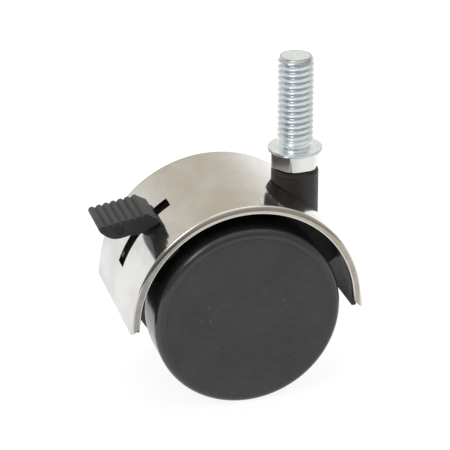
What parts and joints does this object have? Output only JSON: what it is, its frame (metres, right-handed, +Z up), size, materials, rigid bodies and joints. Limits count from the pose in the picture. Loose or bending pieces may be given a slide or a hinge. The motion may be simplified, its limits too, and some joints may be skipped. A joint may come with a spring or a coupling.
{
  "type": "chair caster wheel",
  "caption": "Hooded twin-wheel swivel caster with a threaded stem, a polished sheet hood and a foot brake; screws into the foot of an office chair or cabinet.",
  "frame": {"origin": "on the swivel axis, in the top face of the stem's flange, which is the face that seats against the furniture", "axes": "+Z up along the threaded stem, +X the way the caster rolls (the axle trails behind the stem), Y along the wheel axle"},
  "size_m": [0.0675, 0.0404, 0.088],
  "materials": {
    "zinc_plated_steel": "bright zinc plating on turned steel",
    "polished_nickel": "polished nickel-plated sheet",
    "black_nylon": "satin moulded nylon",
    "wheel_nylon": "glossy moulded wheel with a smooth tread",
    "cover_nylon": "fine satin grain",
    "plain_steel": "turned and ground, lightly oiled",
    "spring_steel": "drawn wire",
    "brake_rubber": "dull black"
  },
  "bodies": {
    "stem": {"threaded_stem": "zinc_plated_steel", "stem_snap_ring": "spring_steel"},
    "housing": {"body_housing": "black_nylon", "hood_cover": "polished_nickel", "swivel_bush": "plain_steel", "thrust_ball": "plain_steel", "axle": "plain_steel", "lever_bush": "plain_steel", "left_axle_spacer": "plain_steel", "right_axle_spacer": "plain_steel", "left_axle_clip": "spring_steel", "right_axle_clip": "spring_steel"},
    "left_wheel": {"left_wheel_rim": "wheel_nylon", "left_wheel_bush": "plain_steel", "left_wheel_cover": "cover_nylon"},
    "right_wheel": {"right_wheel_rim": "wheel_nylon", "right_wheel_bush": "plain_steel", "right_wheel_cover": "cover_nylon"},
    "brake_lever": {"brake_lever": "black_nylon", "shoe_spring": "spring_steel"},
    "brake_shoe": {"shoe_bar": "plain_steel", "left_shoe_pad": "brake_rubber", "right_shoe_pad": "brake_rubber"}
  },
  "joints": [
    {"name": "swivel", "type": "hinge", "parent": "stem", "child": "housing", "pos_m": [0, 0, 0], "axis": [0, 0, 1], "continuous": true},
    {"name": "left_wheel_spin", "type": "hinge", "parent": "housing", "child": "left_wheel", "pos_m": [-0.0185, 0, -0.038], "axis": [0, 1, 0], "continuous": true},
    {"name": "right_wheel_spin", "type": "hinge", "parent": "housing", "child": "right_wheel", "pos_m": [-0.0185, 0, -0.038], "axis": [0, 1, 0], "continuous": true},
    {"name": "brake_lever_pivot", "type": "hinge", "parent": "housing", "child": "brake_lever", "pos_m": [-0.0185, 0, -0.038], "axis": [0, 1, 0], "range_deg": [-19.2, 8.3]},
    {"name": "shoe_slide", "type": "slide", "parent": "brake_lever", "child": "brake_shoe", "axis": [-0.7108, 0, 0.7034], "range_m": [-0.00072, 0.00032], "deforming": ["shoe_spring"]}
  ],
  "couplings": [
    {"joint": "shoe_slide", "follows": "brake_lever_pivot", "m_per_rad": 0.0020889}
  ]
}
